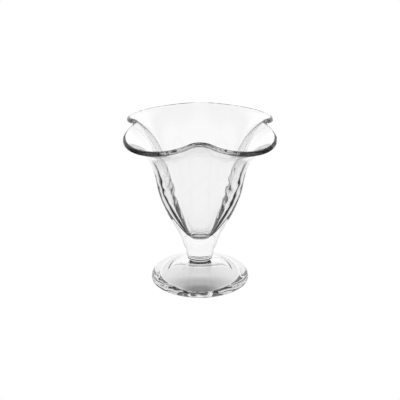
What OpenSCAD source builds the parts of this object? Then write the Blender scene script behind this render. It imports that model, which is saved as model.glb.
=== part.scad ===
// Pressed parfait glass: a four-petal bowl on a short solid stem, a collar and a domed foot.
// The glass stands on z = 0 with its axis on z. Notches of the rim face x and y, petals the diagonals.

/* [Overall] */
// Overall height, from the table to the top of the rim at a notch
glass_height = 120; // [105:1:150]

/* [Foot] */
// Diameter of the foot
foot_diameter = 71; // [60:1:90]
// Height of the foot, up to the collar
foot_height = 15.6; // [13:0.1:20]
// Diameter at the top of the foot, where the collar sits
waist_diameter = 17.8; // [14:0.2:22]
// Height of the foot's shoulder, where the dome ends and the edge turns down
foot_edge = 5.3; // [3.4:0.1:6]
// Width of that rounded shoulder
shoulder_width = 3.2; // [2:0.2:5]
// Radius of the foot's lowest edge
edge_fillet = 0.6; // [0.4:0.1:1.2]
// Width of the flat ring that the glass stands on
bearing_width = 7.2; // [3:0.1:9]
// Depth of the hollow under the foot
hollow_depth = 10.8; // [6:0.2:12]

/* [Collar and stem] */
// Height of the collar
collar_height = 4; // [2.5:0.25:6]
// How far the collar's fine edge stands out from the waist
collar_edge = 0.6; // [0.2:0.1:0.9]
// Depth of the soft grooves above and below that edge
collar_groove = 0.35; // [0.1:0.05:0.6]
// Diameter at the foot of the stem, above the collar
stem_diameter = 19.6; // [17:0.2:24]
// Height of the solid stem
stem_height = 8.9; // [7:0.1:14]

/* [Bowl] */
// Diameter of the bowl's round base, where the stem meets it
base_diameter = 25.6; // [24:0.2:30]
// Height of the fluted body, from the base to the throat
body_height = 52; // [44:1:60]
// Width of the throat across two opposite flutes
throat_flute_width = 50.4; // [44:0.5:56]
// Width of the throat across two opposite corners
throat_corner_width = 76.6; // [70:0.5:84]
// Radius of the body's four corners
corner_radius = 10; // [8:0.5:12]
// Width of the mouth across two opposite petals
mouth_width = 124; // [112:1:136]
// Width of the mouth across two opposite notches
notch_width = 93.4; // [86:0.5:100]
// Radius of a petal's edge, seen from above
petal_radius = 30; // [27:0.5:33]
// How far the petals hang below the notches
petal_drop = 5.5; // [2:0.25:9]

/* [Glass] */
// Thickness of the wall and of the rounded lip
wall = 3.4; // [2.6:0.1:4.2]
// Thickness that the wall grows towards at the bowl's base
base_wall = 13; // [10:0.5:14]
// Thickness of the solid floor of the bowl
floor_thickness = 5.4; // [4:0.2:8]
// Reach of the flat middle of the cavity's floor, out from the axis
floor_reach = 5.6; // [4:0.1:8]

/* [Hidden] */

// Colours of the clear pieces
clear_glass = [0.86, 0.90, 0.90, 0.45];
thick_glass = [0.74, 0.81, 0.81, 0.60];

// Steps round the bowl, up its body, up its flare, over its lip and across its floor
around = 72;
body_steps = 10;
flare_steps = 13;
lip_steps = 6;
floor_steps = 8;
// Steps along the curved outlines of the turned pieces
outline_steps = 12;
edge_steps = 6;

// Radii and heights that the pieces share
foot_radius = foot_diameter / 2;
waist_radius = waist_diameter / 2;
stem_radius = stem_diameter / 2;
base_radius = base_diameter / 2;
lip_radius = wall / 2;
collar_bottom = foot_height;
stem_bottom = collar_bottom + collar_height;
base_height = stem_bottom + stem_height;
throat_height = base_height + body_height;
notch_height = glass_height - lip_radius;
petal_height = notch_height - petal_drop;

// Angles of the wall above the horizontal, where it ends in the lip
notch_lip_angle = 42;
petal_lip_angle = 19;
// Growth of a wall's radius with height: at the base, and at the throat on flutes and on corners
base_slope = 0.42;
flute_slope = 0.26;
corner_slope = 0.16;
// Lengths of the handles of the outlines, as shares of the height or the reach that they span
base_handle_share = 0.18;
throat_handle_share = 0.33;
flare_start_share = 0.42;
flare_end_share = 0.46;
// Slope of the foot at its shoulder, and shares that fill its dome, its shoulder and its hollow
shoulder_slope = 0.36;
dome_start_share = 0.42;
dome_fill_share = 0.58;
dome_end_share = 0.4;
shoulder_share = 0.55;
hollow_side_share = 0.33;
hollow_rise_share = 0.67;
hollow_top_share = 0.33;
// Where the collar's fine edge lies in its height, and shares that shape its grooves
collar_edge_share = 0.6;
collar_start_share = 0.2;
collar_groove_share = 0.13;
// How fast the wall thins from the base to the lip
thinning = 4;
// Where the cavity's floor leaves its wall, as a share of the body's curve
floor_share = 0.38;
// Length of the floor's handle there, as a share of the drop to the floor
floor_handle_share = 0.6;
// Step that is used to measure the direction of the wall
probe_share = 0.004;

// Point of a cubic curve with two ends and two handles
function cubic(p, t) =
    pow(1 - t, 3) * p[0] + 3 * pow(1 - t, 2) * t * p[1] + 3 * (1 - t) * t * t * p[2] + t * t * t * p[3];

// Handles of the body's outline, from the round base to the throat, for a given throat radius and slope
function body_curve(throat_radius, slope) = [
    [base_radius, base_height],
    [base_radius, base_height] + [base_slope, 1] * body_height * base_handle_share,
    [throat_radius, throat_height] - [slope, 1] * body_height * throat_handle_share,
    [throat_radius, throat_height]
];

// Handles of the flare's outline, from the throat to the edge of the outer face below the lip
function flare_curve(throat_radius, slope, edge_radius, edge_height, angle) =
    let (
        rise = edge_height - throat_height,
        reach = edge_radius - throat_radius,
        end = [edge_radius + lip_radius * sin(angle), edge_height - lip_radius * cos(angle)]
    ) [
        [throat_radius, throat_height],
        [throat_radius, throat_height] + [slope, 1] * rise * flare_start_share,
        end - [cos(angle), sin(angle)] * norm([rise, reach]) * flare_end_share,
        end
    ];

flute_body = body_curve(throat_flute_width / 2, flute_slope);
corner_body = body_curve(throat_corner_width / 2, corner_slope);
flute_flare = flare_curve(throat_flute_width / 2, flute_slope, notch_width / 2 - lip_radius, notch_height,
    notch_lip_angle);
corner_flare = flare_curve(throat_corner_width / 2, corner_slope, mouth_width / 2 - lip_radius, petal_height,
    petal_lip_angle);

// Outline of the outer face in a flute and on a corner: v is 0 to 1 up the body, then to 2 up the flare
function flute_point(v) = v <= 1 ? cubic(flute_body, v) : cubic(flute_flare, v - 1);
function corner_point(v) = v <= 1 ? cubic(corner_body, v) : cubic(corner_flare, v - 1);
// The corners open out with the flare, from the body's radius to the petal's
function corner_round(v) =
    v <= 1 ? corner_radius
    : corner_radius + (petal_radius - corner_radius)
        * (corner_point(v)[0] - corner_point(1)[0]) / (corner_point(2)[0] - corner_point(1)[0]);

// Angle from the nearest flute, between 0 and 45 degrees
function fold(a) = abs((a + 405) % 90 - 45);

// Curvature of the side arc that is tangent to two corner arcs: hollow when above zero
function side_bend(flute, centre, round) =
    2 * (round + centre - flute) / (pow(centre - flute, 2) + centre * centre - round * round);

// Radius of the section at an angle: four corner arcs on the diagonals, joined by tangent side arcs
function section(a, flute, corner, round) =
    let (
        t = fold(a),
        reach = corner - round,
        centre = reach / sqrt(2),
        bend = side_bend(flute, centre, round),
        way = [bend * (flute - centre) + 1, -centre * bend],
        touch = [centre, centre] + round * way / norm(way),
        lean = flute * bend + 1
    )
    t <= atan2(touch[1], touch[0])
        ? flute * (lean + 1) / (lean * cos(t) + sqrt(max(0, 1 - pow(lean * sin(t), 2))))
        : reach * cos(t - 45) + sqrt(max(0, round * round - pow(reach * sin(t - 45), 2)));

// Point of the outer face at angle a: between flute and corner the height follows the radius
function outer_point(a, v) =
    let (
        flute = flute_point(v),
        corner = corner_point(v),
        radius = section(a, flute[0], corner[0], corner_round(v)),
        share = corner[0] > flute[0] ? (corner[0] - radius) / (corner[0] - flute[0]) : 0,
        height = corner[1] + (flute[1] - corner[1]) * share
    )
    [radius * cos(a), radius * sin(a), height];

// Directions of the wall: along the outline, and outwards
function along(a, v) =
    let (d = outer_point(a, min(2, v + probe_share)) - outer_point(a, max(0, v - probe_share))) d / norm(d);
function outwards(a, v) =
    let (
        turn = outer_point(a + 360 * probe_share, v) - outer_point(a - 360 * probe_share, v),
        n = cross(turn, along(a, v))
    )
    n / norm(n);

// The wall thins from the base to the lip
function wall_at(v) = wall + (base_wall - wall) * pow(1 - v / 2, thinning);
function inner_point(a, v) = outer_point(a, v) - outwards(a, v) * wall_at(v);

// The lip: half a round over the edge of the wall, from the outer face to the inner one
function lip_point(a, turn) =
    outer_point(a, 2) - outwards(a, 2) * lip_radius
    + (outwards(a, 2) * cos(turn) + along(a, 2) * sin(turn)) * lip_radius;

// The cavity's floor: at each angle a cubic that runs on from the wall and comes level at the axis
floor_centre = [0, 0, base_height + floor_thickness];
function floor_point(a, share) =
    let (
        rim = inner_point(a, floor_share),
        down = rim - inner_point(a, floor_share + probe_share),
        drop = (floor_centre[2] - rim[2]) * floor_handle_share,
        level = floor_centre + [rim[0], rim[1], 0] / norm([rim[0], rim[1]]) * floor_reach
    )
    cubic([floor_centre, level, rim + down * drop / down[2], rim], share);

angles = [for (i = [0 : around - 1]) 360 * i / around];
body_levels = [for (i = [0 : body_steps]) i / body_steps];
inner_levels = [for (i = [0 : body_steps]) floor_share + (1 - floor_share) * i / body_steps];
flare_levels = [for (i = [1 : flare_steps]) 1 + i / flare_steps];

// Rings of points from the base over the lip to the floor of the cavity
bowl_rings = concat(
    [for (v = body_levels) [for (a = angles) outer_point(a, v)]],
    [for (v = flare_levels) [for (a = angles) outer_point(a, v)]],
    [for (i = [1 : lip_steps - 1]) [for (a = angles) lip_point(a, 180 * i / lip_steps)]],
    [for (i = [flare_steps - 1 : -1 : 0]) [for (a = angles) inner_point(a, flare_levels[i])]],
    [for (i = [body_steps : -1 : 0]) [for (a = angles) inner_point(a, inner_levels[i])]],
    [for (i = [floor_steps - 1 : -1 : 1]) [for (a = angles) floor_point(a, i / floor_steps)]]
);

// Skin over a stack of rings, closed by a fan at each end
module skin(rings, first_pole, last_pole) {
    count = len(rings[0]);
    last = len(rings) - 1;
    points = concat([for (ring = rings, p = ring) p], [first_pole, last_pole]);
    sides = [
        for (i = [0 : last - 1], j = [0 : count - 1])
            let (k = (j + 1) % count)
            each [
                [i * count + j, (i + 1) * count + j, (i + 1) * count + k],
                [i * count + j, (i + 1) * count + k, i * count + k]
            ]
    ];
    ends = [
        for (j = [0 : count - 1])
            let (k = (j + 1) % count)
            each [
                [len(points) - 2, j, k],
                [len(points) - 1, last * count + k, last * count + j]
            ]
    ];
    polyhedron(points = points, faces = concat(sides, ends), convexity = 6);
}

module bowl() {
    color(clear_glass)
        skin(bowl_rings, [0, 0, base_height], floor_centre);
}

// Solid stem: a turned taper whose sides run on into the bowl
module stem() {
    outline = [
        [stem_radius, stem_bottom],
        [stem_radius, stem_bottom + stem_height / 3],
        [base_radius, base_height] - [base_slope, 1] * stem_height / 3,
        [base_radius, base_height]
    ];
    color(thick_glass)
        rotate_extrude()
            polygon(concat(
                [[0, stem_bottom]],
                [for (i = [0 : outline_steps]) cubic(outline, i / outline_steps)],
                [[0, base_height]]
            ));
}

// Collar: a low ring that tapers in towards the foot, with a fine edge between two soft grooves
module collar() {
    edge = [waist_radius + collar_edge, collar_bottom + collar_height * collar_edge_share];
    groove = collar_height * collar_groove_share;
    lower = [
        [waist_radius, collar_bottom],
        [waist_radius, collar_bottom + collar_height * collar_start_share],
        edge - [collar_groove, groove],
        edge
    ];
    upper = [
        edge,
        edge + [0, groove],
        [stem_radius - collar_groove, stem_bottom - groove],
        [stem_radius, stem_bottom]
    ];
    color(thick_glass)
        rotate_extrude()
            polygon(concat(
                [[0, collar_bottom]],
                [for (i = [0 : edge_steps]) cubic(lower, i / edge_steps)],
                [for (i = [1 : edge_steps]) cubic(upper, i / edge_steps)],
                [[0, stem_bottom]]
            ));
}

// Domed foot with a rounded shoulder, a flat ring to stand on and a hollow underside
module foot() {
    shoulder_radius = foot_radius - shoulder_width;
    fillet_centre = [foot_radius - edge_fillet, edge_fillet];
    hollow_radius = foot_radius - edge_fillet - bearing_width;
    span = shoulder_radius - waist_radius;
    dome = foot_height - foot_edge;
    top = [
        [waist_radius, foot_height],
        [waist_radius + span * dome_start_share, foot_edge + dome * dome_fill_share],
        [shoulder_radius - span * dome_end_share, foot_edge + span * dome_end_share * shoulder_slope],
        [shoulder_radius, foot_edge]
    ];
    shoulder = [
        [shoulder_radius, foot_edge],
        [shoulder_radius, foot_edge] + [1, -shoulder_slope] * shoulder_width * shoulder_share,
        [foot_radius, edge_fillet + (foot_edge - edge_fillet) * shoulder_share],
        [foot_radius, edge_fillet]
    ];
    hollow = [
        [hollow_radius, 0],
        [hollow_radius * (1 - hollow_side_share), hollow_depth * hollow_rise_share],
        [hollow_radius * hollow_top_share, hollow_depth],
        [0, hollow_depth]
    ];
    color(clear_glass)
        rotate_extrude()
            polygon(concat(
                [for (i = [0 : outline_steps]) cubic(top, i / outline_steps)],
                [for (i = [1 : edge_steps]) cubic(shoulder, i / edge_steps)],
                [for (i = [1 : edge_steps])
                    fillet_centre + edge_fillet * [cos(90 * i / edge_steps), -sin(90 * i / edge_steps)]],
                [for (i = [0 : outline_steps]) cubic(hollow, i / outline_steps)],
                [[0, foot_height]]
            ));
}

bowl();
stem();
collar();
foot();
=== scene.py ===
"""Looks of the pressed parfait glass: clear bowl, stem, collar and foot, on a pale lit table."""

import bpy
import numpy as np
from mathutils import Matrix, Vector


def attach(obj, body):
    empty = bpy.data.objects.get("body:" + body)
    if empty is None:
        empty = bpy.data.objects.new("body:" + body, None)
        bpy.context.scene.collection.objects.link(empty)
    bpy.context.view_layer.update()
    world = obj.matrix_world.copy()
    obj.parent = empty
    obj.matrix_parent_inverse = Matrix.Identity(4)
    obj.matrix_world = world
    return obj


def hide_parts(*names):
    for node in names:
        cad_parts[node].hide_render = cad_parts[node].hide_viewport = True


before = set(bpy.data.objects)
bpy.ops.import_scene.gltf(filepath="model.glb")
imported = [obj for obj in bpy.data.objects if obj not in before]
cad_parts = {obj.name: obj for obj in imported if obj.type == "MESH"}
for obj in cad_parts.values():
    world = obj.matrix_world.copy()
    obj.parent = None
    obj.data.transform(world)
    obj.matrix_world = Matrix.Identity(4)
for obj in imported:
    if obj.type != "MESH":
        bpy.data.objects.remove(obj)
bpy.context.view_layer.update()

MM = 0.001

# Sizes of the glass in millimetres, as in the part's source
FOOT_RADIUS, FOOT_HEIGHT, WAIST_RADIUS = 35.5, 15.6, 8.9
FOOT_EDGE, SHOULDER_WIDTH, EDGE_FILLET = 5.3, 3.2, 0.6
BEARING_WIDTH, HOLLOW_DEPTH = 7.2, 10.8
COLLAR_HEIGHT, COLLAR_EDGE, COLLAR_GROOVE = 4.0, 0.6, 0.35
STEM_RADIUS, STEM_HEIGHT = 9.8, 8.9
BASE_RADIUS, BODY_HEIGHT = 12.8, 52.0
THROAT_FLUTE, THROAT_CORNER, CORNER_RADIUS = 25.2, 38.3, 10.0
PETAL_RADIUS, PETAL_DROP = 30.0, 5.5
WALL, BASE_WALL, FLOOR_THICKNESS = 3.4, 13.0, 5.4

# The rim in millimetres, up to 0.1 mm inside the source's, so that the finer grid stays inside the CAD box
GLASS_HEIGHT, MOUTH_RADIUS, NOTCH_RADIUS = 119.95, 61.9, 46.6

# Low in the bowl, in millimetres and unlike the source: a smaller radius of the corners at the base,
# a thinner wall under them, and a wider floor
BASE_CORNER_RADIUS, BASE_CORNER_THINNING, FLOOR_WIDTH = 8.4, 4.8, 7.2

LIP = WALL / 2
COLLAR_BOTTOM = FOOT_HEIGHT
STEM_BOTTOM = COLLAR_BOTTOM + COLLAR_HEIGHT
BASE_HEIGHT = STEM_BOTTOM + STEM_HEIGHT
FLOOR_HEIGHT = BASE_HEIGHT + FLOOR_THICKNESS
THROAT_HEIGHT = BASE_HEIGHT + BODY_HEIGHT
NOTCH_HEIGHT = GLASS_HEIGHT - LIP
PETAL_HEIGHT = NOTCH_HEIGHT - PETAL_DROP
SHOULDER_RADIUS = FOOT_RADIUS - SHOULDER_WIDTH
RING_RADIUS = FOOT_RADIUS - EDGE_FILLET
HOLLOW_RADIUS = RING_RADIUS - BEARING_WIDTH

# Angles, slopes and shares of the outlines, as in the part's source
NOTCH_LIP_ANGLE, PETAL_LIP_ANGLE = np.radians(42), np.radians(19)
BASE_SLOPE, FLUTE_SLOPE, CORNER_SLOPE = 0.42, 0.26, 0.16
BASE_HANDLE, THROAT_HANDLE, FLARE_START, FLARE_END = 0.18, 0.33, 0.42, 0.46
SHOULDER_SLOPE, DOME_START, DOME_FILL, DOME_END = 0.36, 0.42, 0.58, 0.4
SHOULDER_SHARE, HOLLOW_SIDE, HOLLOW_RISE, HOLLOW_TOP = 0.55, 0.33, 0.67, 0.33
COLLAR_EDGE_SHARE, COLLAR_START, COLLAR_GROOVE_SHARE = 0.6, 0.2, 0.13
THINNING = 4.0

# Where the cavity's floor leaves the wall, as a level of the body, and the length of its handle there.
# They make a flatter floor than the source's
FLOOR_SHARE, FLOOR_HANDLE = 0.46, 0.7

# Fine relief in millimetres: waves of the flat ring, the mould's seam on the dome, uneven wall and lip
RING_HEIGHT, SEAM_HEIGHT, RIPPLE_HEIGHT, RIM_HEIGHT = 0.05, 0.18, 0.2, 0.45
# Waves of the ring: how many round it, and radians per millimetre across it
RING_COUNTS, RING_SLANTS = np.array([11, 17, 29]), np.array([0.5, -0.9, 0.4])
# The seam's angle, its half width, and the lengths over which it fades at the waist and at the foot's edge
SEAM_ANGLE, SEAM_WIDTH, SEAM_WAIST_FADE, SEAM_EDGE_FADE = np.radians(225), 0.6, 3.0, 1.5
# Level where the wall is most uneven, how far that reaches, and how many times closer the lip's waves are
RIPPLE_LEVEL, RIPPLE_REACH, RIM_WAVES = 0.98, 0.28, 2.2
# Waves of the unevenness: radians per millimetre along x, y and z, and the phase of each
RIPPLE_WAVES = np.array([
    [0.5, 0.2, 0.6],
    [-0.3, 0.6, 0.45],
    [0.65, -0.4, 0.3],
    [0.2, 0.35, -0.75],
    [-0.55, -0.25, 0.5],
])
RIPPLE_PHASES = np.array([0.3, 1.9, 3.1, 4.4, 5.6])

# Steps of the grids: round the axis, and along each stretch of the profiles
AROUND = 288
BODY_STEPS, FLARE_STEPS, LIP_STEPS, FLOOR_STEPS = 60, 60, 18, 24
OUTLINE_STEPS, EDGE_STEPS, DISC_STEPS, RING_STEPS = 48, 12, 6, 24
# Share of a stretch in the thin row beside a joint, step that measures the wall's direction, least divisor
JOINT_SHARE, PROBE_STEP, TINY = 0.001, 0.002, 1e-9

# Finish of the glass: how strongly it bends light, its tints, and the range of its roughness
GLASS_BENDING = 1.52
GLASS_TINTS = [(0.3, (0.987, 0.989, 0.988, 1)), (0.7, (0.997, 0.998, 0.997, 1))]
POLISH_REACH, POLISH_LEVELS = (0.35, 0.65), (0.0, 0.015)
# Noise of its streaks and of its face's swell: scale per metre, octaves, and the swell's height in metres
STREAK_SCALE, STREAK_DETAIL = 30.0, 3.0
SWELL_SCALE, SWELL_DETAIL, SWELL_HEIGHT = 140.0, 1.0, 0.00002

# Brightness that reflected light finds in the room, from the camera's side (0) to behind the glass (1),
# and what is left of it from the second reflection on
ROOM_STOPS = [(0.0, 0.5), (0.2, 0.5), (0.4, 0.05), (0.62, 0.0), (0.8, 1.0)]
LATER_REFLECTIONS = 0.14
# Reflections and passed faces are counted in whole numbers, and this lies between none and one
NONE_OR_ONE = 0.5

# Half the side of the table, and the air between it and the ring under the foot, in metres
TABLE_HALF, TABLE_GAP = 4.0, 0.0001
# Painted band of light on the table, for light reflected inside the foot: distances from the axis in metres
# over which it rises and falls, how many faces such light passes at most, and its longest way to the table
LIT_RISE, LIT_FALL, LIT_FACES, LIT_WAY = (0.006, 0.014), (0.045, 0.08), 3.5, 0.025
# Painted shades on the table, each with the distances in metres over which it changes and the levels that it
# changes between: a half-moon shadow with a darker core inside the foot's ring, and a faint shade for light
# through the foot
HOLLOW_REACH = (0.0268, 0.0279)
SHADE_STRETCH = (1.0, 1.55, 1.0)
MOON_POINT, MOON_REACH, MOON_LEVELS = (0.0, -0.03, 0.0), (0.008, 0.03), (0.58, 0.88)
CORE_POINT, CORE_REACH, CORE_LEVELS = (0.0, -0.042, 0.0), (0.004, 0.017), (0.5, 1.0)
FOOT_REACH, FOOT_PAINTED_SHADE = (0.036, 0.06), (0.15, 0.0)

# Camera: its place and aim in metres, its lens and sensor in millimetres
CAMERA_PLACE, CAMERA_AIM = (0.0, -0.750, 0.36619), (0.0, 0.0, 0.06056)
LENS_LENGTH, SENSOR_WIDTH = 101.66, 36.0
# How many faces light may meet, and how many may mirror it
BOUNCES, MIRROR_BOUNCES = 32, 16


def cubic(points, t):
    """Cubic curve with two ends and two handles, weighted by the four Bernstein terms of t."""
    p = np.asarray(points, float)
    t = np.asarray(t, float)[..., None]
    return (1 - t) ** 3 * p[0] + 3 * (1 - t) ** 2 * t * p[1] + 3 * (1 - t) * t * t * p[2] + t ** 3 * p[3]


def steps(count):
    """Shares from 0 to 1 in even steps, with one more close to each end, where a joint's flat face begins."""
    return np.concatenate([[0, JOINT_SHARE], np.linspace(0, 1, count + 1)[1:-1], [1 - JOINT_SHARE, 1]])


def around():
    """Angles of the columns of every grid, in even steps."""
    return np.arange(AROUND) * 2 * np.pi / AROUND


def rows_of(levels):
    """Levels as the rows of a grid, each the same all the way round."""
    return np.broadcast_to(np.asarray(levels)[:, None], (len(levels), AROUND))


def unit(d):
    """Directions divided by their lengths."""
    return d / np.maximum(np.linalg.norm(d, axis=-1, keepdims=True), TINY)


def body_curve(throat_radius, slope):
    """Handles of the body's outline: out of the round base at its slope, into the throat at its own."""
    base = np.array([BASE_RADIUS, BASE_HEIGHT])
    throat = np.array([throat_radius, THROAT_HEIGHT])
    return [
        base,
        base + np.array([BASE_SLOPE, 1]) * BODY_HEIGHT * BASE_HANDLE,
        throat - np.array([slope, 1]) * BODY_HEIGHT * THROAT_HANDLE,
        throat,
    ]


def flare_curve(throat_radius, slope, edge_radius, edge_height, angle):
    """Handles of the flare's outline: up out of the throat, over to the lip at the lip's angle."""
    throat = np.array([throat_radius, THROAT_HEIGHT])
    rise, reach = edge_height - THROAT_HEIGHT, edge_radius - throat_radius
    way = np.array([np.cos(angle), np.sin(angle)])
    end = np.array([edge_radius, edge_height]) + LIP * np.array([way[1], -way[0]])
    return [
        throat,
        throat + np.array([slope, 1]) * rise * FLARE_START,
        end - way * np.hypot(rise, reach) * FLARE_END,
        end,
    ]


FLUTE_BODY = body_curve(THROAT_FLUTE, FLUTE_SLOPE)
CORNER_BODY = body_curve(THROAT_CORNER, CORNER_SLOPE)
FLUTE_FLARE = flare_curve(THROAT_FLUTE, FLUTE_SLOPE, NOTCH_RADIUS - LIP, NOTCH_HEIGHT, NOTCH_LIP_ANGLE)
CORNER_FLARE = flare_curve(THROAT_CORNER, CORNER_SLOPE, MOUTH_RADIUS - LIP, PETAL_HEIGHT, PETAL_LIP_ANGLE)


def outline(body, flare, v):
    """Radius and height at level v: 0 to 1 up the body's curve, 1 to 2 up the flare's."""
    return np.where((v <= 1)[..., None], cubic(body, np.clip(v, 0, 1)), cubic(flare, np.clip(v - 1, 0, 1)))


def section(a, flute, corner, bend_radius):
    """Radius at angle a of four corner arcs on the diagonals joined by tangent hollow side arcs."""
    t = np.abs((a + np.pi / 4) % (np.pi / 2) - np.pi / 4)
    reach = corner - bend_radius
    centre = reach / np.sqrt(2)
    bend = 2 * (bend_radius + centre - flute) / ((centre - flute) ** 2 + centre ** 2 - bend_radius ** 2)
    way_x, way_y = bend * (flute - centre) + 1, -centre * bend
    length = np.hypot(way_x, way_y)
    touch = np.arctan2(centre + bend_radius * way_y / length, centre + bend_radius * way_x / length)
    lean = flute * bend + 1
    side = flute * (lean + 1) / (lean * np.cos(t) + np.sqrt(np.maximum(1 - (lean * np.sin(t)) ** 2, 0)))
    off = t - np.pi / 4
    round_part = reach * np.cos(off) + np.sqrt(np.maximum(bend_radius ** 2 - (reach * np.sin(off)) ** 2, 0))
    return np.where(t <= touch, side, round_part)


def outer_face(a, v):
    """Point of the outer face: the section at level v, its height linear in radius from corner to flute."""
    flute, corner = outline(FLUTE_BODY, FLUTE_FLARE, v), outline(CORNER_BODY, CORNER_FLARE, v)
    growth = (corner[..., 0] - THROAT_CORNER) / (CORNER_FLARE[3][0] - THROAT_CORNER)
    body_bend = BASE_CORNER_RADIUS + (CORNER_RADIUS - BASE_CORNER_RADIUS) * np.clip(v, 0, 1)
    bend_radius = body_bend + (PETAL_RADIUS - CORNER_RADIUS) * np.where(v > 1, growth, 0)
    radius = section(a, flute[..., 0], corner[..., 0], bend_radius)
    span = corner[..., 0] - flute[..., 0]
    share = np.where(span > TINY, (corner[..., 0] - radius) / np.maximum(span, TINY), 0)
    height = corner[..., 1] + (flute[..., 1] - corner[..., 1]) * share
    return np.stack([radius * np.cos(a), radius * np.sin(a), height], -1)


def wall_directions(a, v):
    """Directions up the wall and out of it, the second square to small steps up the wall and round it."""
    up = unit(outer_face(a, np.minimum(2, v + PROBE_STEP)) - outer_face(a, np.maximum(0, v - PROBE_STEP)))
    turn = outer_face(a + PROBE_STEP, v) - outer_face(a - PROBE_STEP, v)
    return up, unit(np.cross(turn, up))


def ripple(points):
    """Unevenness of pressed glass at a point: the mean of five sine waves that cross it at several slants."""
    return np.sin(points @ RIPPLE_WAVES.T + RIPPLE_PHASES).mean(-1)


def inner_face(a, v):
    """Point of the inner face: the outer face moved in by the wall.

    The wall thickens to the base by a power of the level. It does so less under the corners, by the cosine of
    four times the angle, and it is uneven.
    """
    points = outer_face(a, v)
    at_corner = (1 - np.cos(4 * a)) / 2
    thickness = WALL + (BASE_WALL - WALL - BASE_CORNER_THINNING * at_corner) * (1 - v / 2) ** THINNING
    fade = np.exp(-((v - RIPPLE_LEVEL) / RIPPLE_REACH) ** 2)
    thickness = thickness + RIPPLE_HEIGHT * fade * ripple(points)
    return points - wall_directions(a, v)[1] * thickness[..., None]


def base_disc(ring):
    """Flat face under the bowl: the base's ring times even shares, from the middle out."""
    share = np.linspace(0, 1, DISC_STEPS + 1)[:-1, None, None]
    height = np.broadcast_to(ring[..., 2:], (DISC_STEPS, AROUND, 1))
    return np.concatenate([ring[..., :2] * share, height], -1)


def round_lip(a):
    """Half-round lip: the middle of the edge, moved out by a cosine and up by a sine with a wavy crest."""
    top = rows_of([2.0])
    up, out = wall_directions(a, top)
    middle = outer_face(a, top) - out * LIP
    crest = LIP - RIM_HEIGHT * (1 + ripple(middle * RIM_WAVES)) / 2
    turn = np.linspace(0, np.pi, LIP_STEPS + 1)[1:-1, None, None]
    return middle + out * np.cos(turn) * LIP + up * np.sin(turn) * crest[..., None]


def cavity_floor(inner):
    """Floor of the cavity: a cubic curve from each point of the wall's last row to the middle.

    One handle runs on down the wall, and the other lies level on the floor.
    """
    edge, down = inner[-1], unit(inner[-1] - inner[-2])
    handle = edge - down / down[:, 2:] * (edge[:, 2:] - FLOOR_HEIGHT) * FLOOR_HANDLE
    level = np.concatenate([unit(edge[:, :2]) * FLOOR_WIDTH, np.full((AROUND, 1), FLOOR_HEIGHT)], -1)
    middle = np.broadcast_to([0, 0, FLOOR_HEIGHT], edge.shape)
    return cubic([edge, handle, level, middle], np.linspace(0, 1, FLOOR_STEPS + 1)[1:, None])


def bowl_grid():
    """Rows from the base's middle up the outer face, over the lip and down the inner face to the floor."""
    a = around()
    climb = np.concatenate([steps(BODY_STEPS), np.linspace(1, 2, FLARE_STEPS + 1)[1:]])
    flare_fall = np.linspace(2, 1, FLARE_STEPS + 1)
    body_fall = np.linspace(1, FLOOR_SHARE, BODY_STEPS + 1)[1:]
    outer = outer_face(a, rows_of(climb))
    inner = inner_face(a, rows_of(np.concatenate([flare_fall, body_fall])))
    grid = np.concatenate([base_disc(outer[:1]), outer, round_lip(a), inner, cavity_floor(inner)])
    return grid, DISC_STEPS, 0


def turned_grid(profile, first_flat, last_flat):
    """Surface of revolution of a radius-height profile, with flat discs from the axis at either end."""
    share = np.linspace(0, 1, DISC_STEPS + 1)[:-1, None]
    stretches = [profile]
    if first_flat:
        stretches.insert(0, np.hstack([profile[0, 0] * share, np.full_like(share, profile[0, 1])]))
    if last_flat:
        stretches.append(np.hstack([profile[-1, 0] * share[::-1], np.full_like(share, profile[-1, 1])]))
    rows = np.concatenate(stretches)
    a, radius = around(), rows[:, :1]
    height = np.broadcast_to(rows[:, 1:], (len(rows), AROUND))
    grid = np.stack([radius * np.cos(a), radius * np.sin(a), height], -1)
    return grid, DISC_STEPS * first_flat, DISC_STEPS * last_flat


def stem_profile():
    """Taper whose sides run on into the bowl: a cubic curve, upright below and at the base's slope above."""
    points = [
        [STEM_RADIUS, STEM_BOTTOM],
        [STEM_RADIUS, STEM_BOTTOM + STEM_HEIGHT / 3],
        [BASE_RADIUS - BASE_SLOPE * STEM_HEIGHT / 3, BASE_HEIGHT - STEM_HEIGHT / 3],
        [BASE_RADIUS, BASE_HEIGHT],
    ]
    return cubic(points, steps(OUTLINE_STEPS))


def collar_profile():
    """Low ring that tapers in towards the foot: two cubic curves, soft grooves, with a fine edge between."""
    edge = np.array([WAIST_RADIUS + COLLAR_EDGE, COLLAR_BOTTOM + COLLAR_HEIGHT * COLLAR_EDGE_SHARE])
    groove = COLLAR_HEIGHT * COLLAR_GROOVE_SHARE
    lower = [
        [WAIST_RADIUS, COLLAR_BOTTOM],
        [WAIST_RADIUS, COLLAR_BOTTOM + COLLAR_HEIGHT * COLLAR_START],
        edge - [COLLAR_GROOVE, groove],
        edge,
    ]
    upper = [
        edge,
        edge + [0, groove],
        [STEM_RADIUS - COLLAR_GROOVE, STEM_BOTTOM - groove],
        [STEM_RADIUS, STEM_BOTTOM],
    ]
    t = steps(OUTLINE_STEPS // 2)
    return np.concatenate([cubic(lower, t), cubic(upper, t)[1:]])


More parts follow.
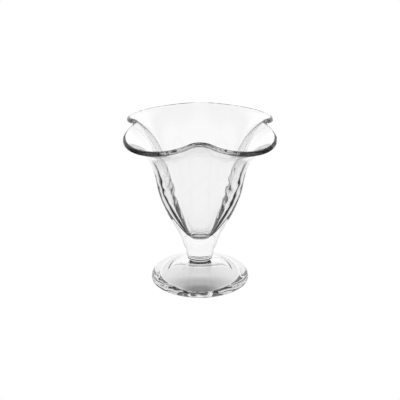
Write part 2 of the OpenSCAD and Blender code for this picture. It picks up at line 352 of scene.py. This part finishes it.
def foot_profile():
    """From the middle of the hollow to the flat ring, round edge and shoulder, and up the dome to the waist.

    Hollow, shoulder and dome are cubic curves, and the edge's fillet is a quarter circle.
    """
    span, rise = SHOULDER_RADIUS - WAIST_RADIUS, FOOT_HEIGHT - FOOT_EDGE
    bulge = SHOULDER_WIDTH * SHOULDER_SHARE
    t = np.linspace(0, 1, OUTLINE_STEPS + 1)
    hollow = cubic([
        [0, HOLLOW_DEPTH],
        [HOLLOW_RADIUS * HOLLOW_TOP, HOLLOW_DEPTH],
        [HOLLOW_RADIUS * (1 - HOLLOW_SIDE), HOLLOW_DEPTH * HOLLOW_RISE],
        [HOLLOW_RADIUS, 0],
    ], t)
    ring = np.linspace(HOLLOW_RADIUS, RING_RADIUS, RING_STEPS + 1)[1:-1]
    turn = np.pi / 2 * (1 - np.linspace(0, 1, EDGE_STEPS + 1))
    fillet = np.stack([RING_RADIUS + EDGE_FILLET * np.cos(turn), EDGE_FILLET * (1 - np.sin(turn))], -1)
    shoulder = cubic([
        [FOOT_RADIUS, EDGE_FILLET],
        [FOOT_RADIUS, EDGE_FILLET + (FOOT_EDGE - EDGE_FILLET) * SHOULDER_SHARE],
        [SHOULDER_RADIUS + bulge, FOOT_EDGE - SHOULDER_SLOPE * bulge],
        [SHOULDER_RADIUS, FOOT_EDGE],
    ], t)
    dome = cubic([
        [SHOULDER_RADIUS, FOOT_EDGE],
        [SHOULDER_RADIUS - span * DOME_END, FOOT_EDGE + span * DOME_END * SHOULDER_SLOPE],
        [WAIST_RADIUS + span * DOME_START, FOOT_EDGE + rise * DOME_FILL],
        [WAIST_RADIUS, FOOT_HEIGHT],
    ], steps(OUTLINE_STEPS))
    return np.concatenate([hollow, np.stack([ring, 0 * ring], -1), fillet, shoulder[1:], dome[1:]])


def foot_grid():
    """Turned foot with its relief: slanting cosine waves in the flat ring, a bell-shaped seam on the dome."""
    grid, first_flat, last_flat = turned_grid(foot_profile(), 0, 1)
    a, radius, height = around(), np.hypot(grid[..., 0], grid[..., 1]), grid[..., 2]
    inside = radius - HOLLOW_RADIUS
    on_ring = (height == 0) & (inside > 0) & (inside < BEARING_WIDTH)
    waves = np.cos(a[:, None] * RING_COUNTS + inside[..., None] * RING_SLANTS).mean(-1)
    below_waist = np.clip((radius - WAIST_RADIUS) / SEAM_WAIST_FADE, 0, 1)
    on_dome = below_waist * np.clip((height - FOOT_EDGE) / SEAM_EDGE_FADE, 0, 1)
    # The hollow and the flat face at the waist have no seam
    on_dome[:OUTLINE_STEPS + 1] = 0
    on_dome[-DISC_STEPS:] = 0
    off_seam = np.angle(np.exp(2j * (a - SEAM_ANGLE))) / 2 * radius
    seam = on_dome * np.exp(-(off_seam / SEAM_WIDTH) ** 2)
    grid[..., 2] = height + RING_HEIGHT * on_ring * (1 + waves) / 2 + SEAM_HEIGHT * seam
    return grid, first_flat, last_flat


def closed_mesh(name, grid, first_flat, last_flat):
    """Mesh over a grid: its first and last row shrink to a point each, and quads lie between the others.

    The faces of the flat rows at either end take the second finish.
    """
    rows, columns = grid.shape[:2]
    points = np.concatenate([grid[0, :1], grid[1:-1].reshape(-1, 3), grid[-1, :1]]) * MM
    index = 1 + np.arange((rows - 2) * columns).reshape(rows - 2, columns)
    after = np.roll(index, -1, 1)
    start = np.stack([np.zeros(columns, int), after[0], index[0]], -1)
    quads = np.stack([index[:-1], after[:-1], after[1:], index[1:]], -1).reshape(-1, 4)
    end = np.stack([index[-1], after[-1], np.full(columns, len(points) - 1)], -1)
    mesh = bpy.data.meshes.new(name)
    mesh.from_pydata(points.tolist(), [], start.tolist() + quads.tolist() + end.tolist())
    row = np.repeat(np.arange(rows - 1), columns)
    fused = (row < first_flat) | (row >= rows - 1 - last_flat)
    mesh.polygons.foreach_set("material_index", fused.astype(np.int32))
    mesh.polygons.foreach_set("use_smooth", ~fused)
    return mesh


def glass_piece(name, node, finishes, grid, first_flat, last_flat):
    """One piece of the glass, which stands for its CAD node."""
    mesh = closed_mesh(name, grid, first_flat, last_flat)
    for finish in finishes:
        mesh.materials.append(finish)
    mesh.update()
    piece = bpy.data.objects.new(name, mesh)
    bpy.context.scene.collection.objects.link(piece)
    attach(piece, "root")
    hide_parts(node)


def operate(tree, kind, operation, values):
    """Outputs of a node that works on values, each of them another node's output or a constant."""
    node = tree.nodes.new(kind)
    node.operation = operation
    for socket, value in zip(node.inputs, values):
        if isinstance(value, bpy.types.NodeSocket):
            tree.links.new(value, socket)
        else:
            socket.default_value = value
    return node.outputs


def number(tree, operation, first, second):
    """Output of an operation on two numbers."""
    return operate(tree, "ShaderNodeMath", operation, (first, second))["Value"]


def vector(tree, operation, *values):
    """Output of an operation on one or two vectors that gives a vector."""
    return operate(tree, "ShaderNodeVectorMath", operation, values)["Vector"]


def distance(tree, place, point):
    """Output with the distance of a place from a fixed point."""
    return operate(tree, "ShaderNodeVectorMath", "DISTANCE", (place, point))["Value"]


def change(tree, value, reach, levels, way="SMOOTHSTEP"):
    """Output that goes from one level to the other as a value crosses the reach."""
    node = tree.nodes.new("ShaderNodeMapRange")
    node.interpolation_type = way
    for socket, setting in zip(("From Min", "From Max", "To Min", "To Max"), (*reach, *levels)):
        node.inputs[socket].default_value = setting
    tree.links.new(value, node.inputs["Value"])
    return node.outputs["Result"]


def color_ramp(tree, value, stops):
    """Output with the colour that a value has between stops, each a place and a colour."""
    node = tree.nodes.new("ShaderNodeValToRGB")
    elements = node.color_ramp.elements
    for place, _ in stops[1:-1]:
        elements.new(place)
    for element, (place, color) in zip(elements, stops):
        element.position, element.color = place, color
    tree.links.new(value, node.inputs["Fac"])
    return node.outputs["Color"]


def noise(tree, scale, detail):
    """Output of a noise over the piece's own coordinates."""
    where = tree.nodes.new("ShaderNodeTexCoord")
    node = tree.nodes.new("ShaderNodeTexNoise")
    node.inputs["Scale"].default_value = scale
    node.inputs["Detail"].default_value = detail
    tree.links.new(where.outputs["Object"], node.inputs["Vector"])
    return node.outputs["Fac"]


def clear_glass():
    """Clear pressed glass: faint streaks in tint and polish, and a fine swell of the fire-polished face."""
    material = bpy.data.materials.new("clear_glass_finish")
    material.use_nodes = True
    tree = material.node_tree
    shader = tree.nodes["Principled BSDF"]
    shader.inputs["Transmission Weight"].default_value = 1.0
    shader.inputs["IOR"].default_value = GLASS_BENDING
    streaks = noise(tree, STREAK_SCALE, STREAK_DETAIL)
    tree.links.new(color_ramp(tree, streaks, GLASS_TINTS), shader.inputs["Base Color"])
    tree.links.new(change(tree, streaks, POLISH_REACH, POLISH_LEVELS), shader.inputs["Roughness"])
    bump = tree.nodes.new("ShaderNodeBump")
    bump.inputs["Distance"].default_value = SWELL_HEIGHT
    tree.links.new(noise(tree, SWELL_SCALE, SWELL_DETAIL), bump.inputs["Height"])
    tree.links.new(bump.outputs["Normal"], shader.inputs["Normal"])
    return material


def fused_joint():
    """Face where two pieces are fused: it neither bends nor mirrors light."""
    material = bpy.data.materials.new("fused_joint")
    material.use_nodes = True
    nodes = material.node_tree.nodes
    nodes.remove(nodes["Principled BSDF"])
    through = nodes.new("ShaderNodeBsdfTransparent")
    material.node_tree.links.new(through.outputs["BSDF"], nodes["Material Output"].inputs["Surface"])
    return material


def room_brightness(tree, way):
    """White for light never reflected, and otherwise a ramp of the way's y, dimmer after one reflection."""
    reflections = tree.nodes.new("ShaderNodeLightPath").outputs["Glossy Depth"]
    split = tree.nodes.new("ShaderNodeSeparateXYZ")
    tree.links.new(way, split.inputs["Vector"])
    place = change(tree, split.outputs["Y"], (-1, 1), (0, 1), "LINEAR")
    ramp = color_ramp(tree, place, [(stop, (level, level, level, 1)) for stop, level in ROOM_STOPS])
    later = change(tree, reflections, (1, 2), (1, LATER_REFLECTIONS), "LINEAR")
    fresh = number(tree, "LESS_THAN", reflections, NONE_OR_ONE)
    return number(tree, "MAXIMUM", number(tree, "MULTIPLY", ramp, later), fresh)


def painted_light_band(tree, path, off_axis):
    """Painted pool of light on the table near the foot, for light that passed few faces and left the glass
    nearby.
    """
    rise, fall = change(tree, off_axis, LIT_RISE, (0, 1)), change(tree, off_axis, LIT_FALL, (1, 0))
    few = number(tree, "LESS_THAN", path.outputs["Transmission Depth"], LIT_FACES)
    close = number(tree, "LESS_THAN", path.outputs["Ray Length"], LIT_WAY)
    band = number(tree, "MULTIPLY", rise, fall)
    return number(tree, "MULTIPLY", band, number(tree, "MULTIPLY", few, close))


def painted_table_shade(tree, path, where, off_axis):
    """Share of brightness that the painted shades leave: the painted half-moon shadow's share times that of
    the painted shade seen through the foot.
    """
    stretched = vector(tree, "MULTIPLY", where, SHADE_STRETCH)
    moon = change(tree, distance(tree, stretched, MOON_POINT), MOON_REACH, MOON_LEVELS)
    core = change(tree, distance(tree, stretched, CORE_POINT), CORE_REACH, CORE_LEVELS)
    moon_painted_shade = number(tree, "SUBTRACT", 1, number(tree, "MULTIPLY", moon, core))
    inside = change(tree, off_axis, HOLLOW_REACH, (1, 0))
    moon_share = number(tree, "SUBTRACT", 1, number(tree, "MULTIPLY", inside, moon_painted_shade))
    passed = number(tree, "GREATER_THAN", path.outputs["Transmission Depth"], NONE_OR_ONE)
    foot_painted_shade = number(tree, "MULTIPLY", passed, change(tree, off_axis, FOOT_REACH, FOOT_PAINTED_SHADE))
    return number(tree, "MULTIPLY", moon_share, number(tree, "SUBTRACT", 1, foot_painted_shade))


def lit_table():
    """Soft glow of the table: the brighter of the room and the painted band of light, times the painted
    shades.
    """
    material = bpy.data.materials.new("lit_table")
    material.use_nodes = True
    tree = material.node_tree
    tree.nodes.remove(tree.nodes["Principled BSDF"])
    path = tree.nodes.new("ShaderNodeLightPath")
    where = tree.nodes.new("ShaderNodeTexCoord").outputs["Object"]
    off_axis = distance(tree, where, (0, 0, 0))
    way = vector(tree, "NORMALIZE", vector(tree, "SUBTRACT", where, (0, 0, GLASS_HEIGHT / 2 * MM)))
    # The painted band of light near the foot brightens the table's glow where it is brighter than the room
    bright = number(tree, "MAXIMUM", room_brightness(tree, way), painted_light_band(tree, path, off_axis))
    glow = tree.nodes.new("ShaderNodeEmission")
    # The table's glow times the painted shades: a half-moon shadow inside the foot's ring and a faint shade
    # seen through the glass
    shaded = number(tree, "MULTIPLY", bright, painted_table_shade(tree, path, where, off_axis))
    tree.links.new(shaded, glow.inputs["Strength"])
    tree.links.new(glow.outputs["Emission"], tree.nodes["Material Output"].inputs["Surface"])
    return material


def table_top():
    """Pale lit table just under the glass: one square face."""
    corners = [(x * TABLE_HALF, y * TABLE_HALF, 0) for x, y in ((-1, -1), (1, -1), (1, 1), (-1, 1))]
    mesh = bpy.data.meshes.new("table_top")
    mesh.from_pydata(corners, [], [(0, 1, 2, 3)])
    mesh.materials.append(lit_table())
    table = bpy.data.objects.new("table_top", mesh)
    bpy.context.scene.collection.objects.link(table)
    table.location.z = -TABLE_GAP


def soft_room():
    """Even white studio room, dimmer in reflections from its sides and front."""
    world = bpy.data.worlds.new("soft_room")
    world.use_nodes = True
    tree = world.node_tree
    background = tree.nodes["Background"]
    background.inputs["Color"].default_value = (1, 1, 1, 1)
    way = tree.nodes.new("ShaderNodeTexCoord").outputs["Generated"]
    tree.links.new(room_brightness(tree, way), background.inputs["Strength"])
    bpy.context.scene.world = world


def camera():
    """Camera above and in front of the glass, at the photograph's angle."""
    lens = bpy.data.cameras.new("camera")
    lens.sensor_width, lens.lens = SENSOR_WIDTH, LENS_LENGTH
    eye = bpy.data.objects.new("camera", lens)
    eye.location = CAMERA_PLACE
    eye.rotation_euler = (Vector(CAMERA_AIM) - eye.location).to_track_quat("-Z", "Y").to_euler()
    bpy.context.scene.collection.objects.link(eye)
    bpy.context.scene.camera = eye


camera()
finishes = (clear_glass(), fused_joint())
glass_piece("bowl_glass", "bowl", finishes, *bowl_grid())
glass_piece("stem_glass", "stem", finishes, *turned_grid(stem_profile(), 1, 1))
glass_piece("collar_glass", "collar", finishes, *turned_grid(collar_profile(), 1, 1))
glass_piece("foot_glass", "foot", finishes, *foot_grid())
table_top()
soft_room()

scene = bpy.context.scene
scene.view_settings.view_transform = "Standard"
scene.cycles.max_bounces = BOUNCES
scene.cycles.transmission_bounces = BOUNCES
scene.cycles.transparent_max_bounces = BOUNCES
scene.cycles.glossy_bounces = MIRROR_BOUNCES
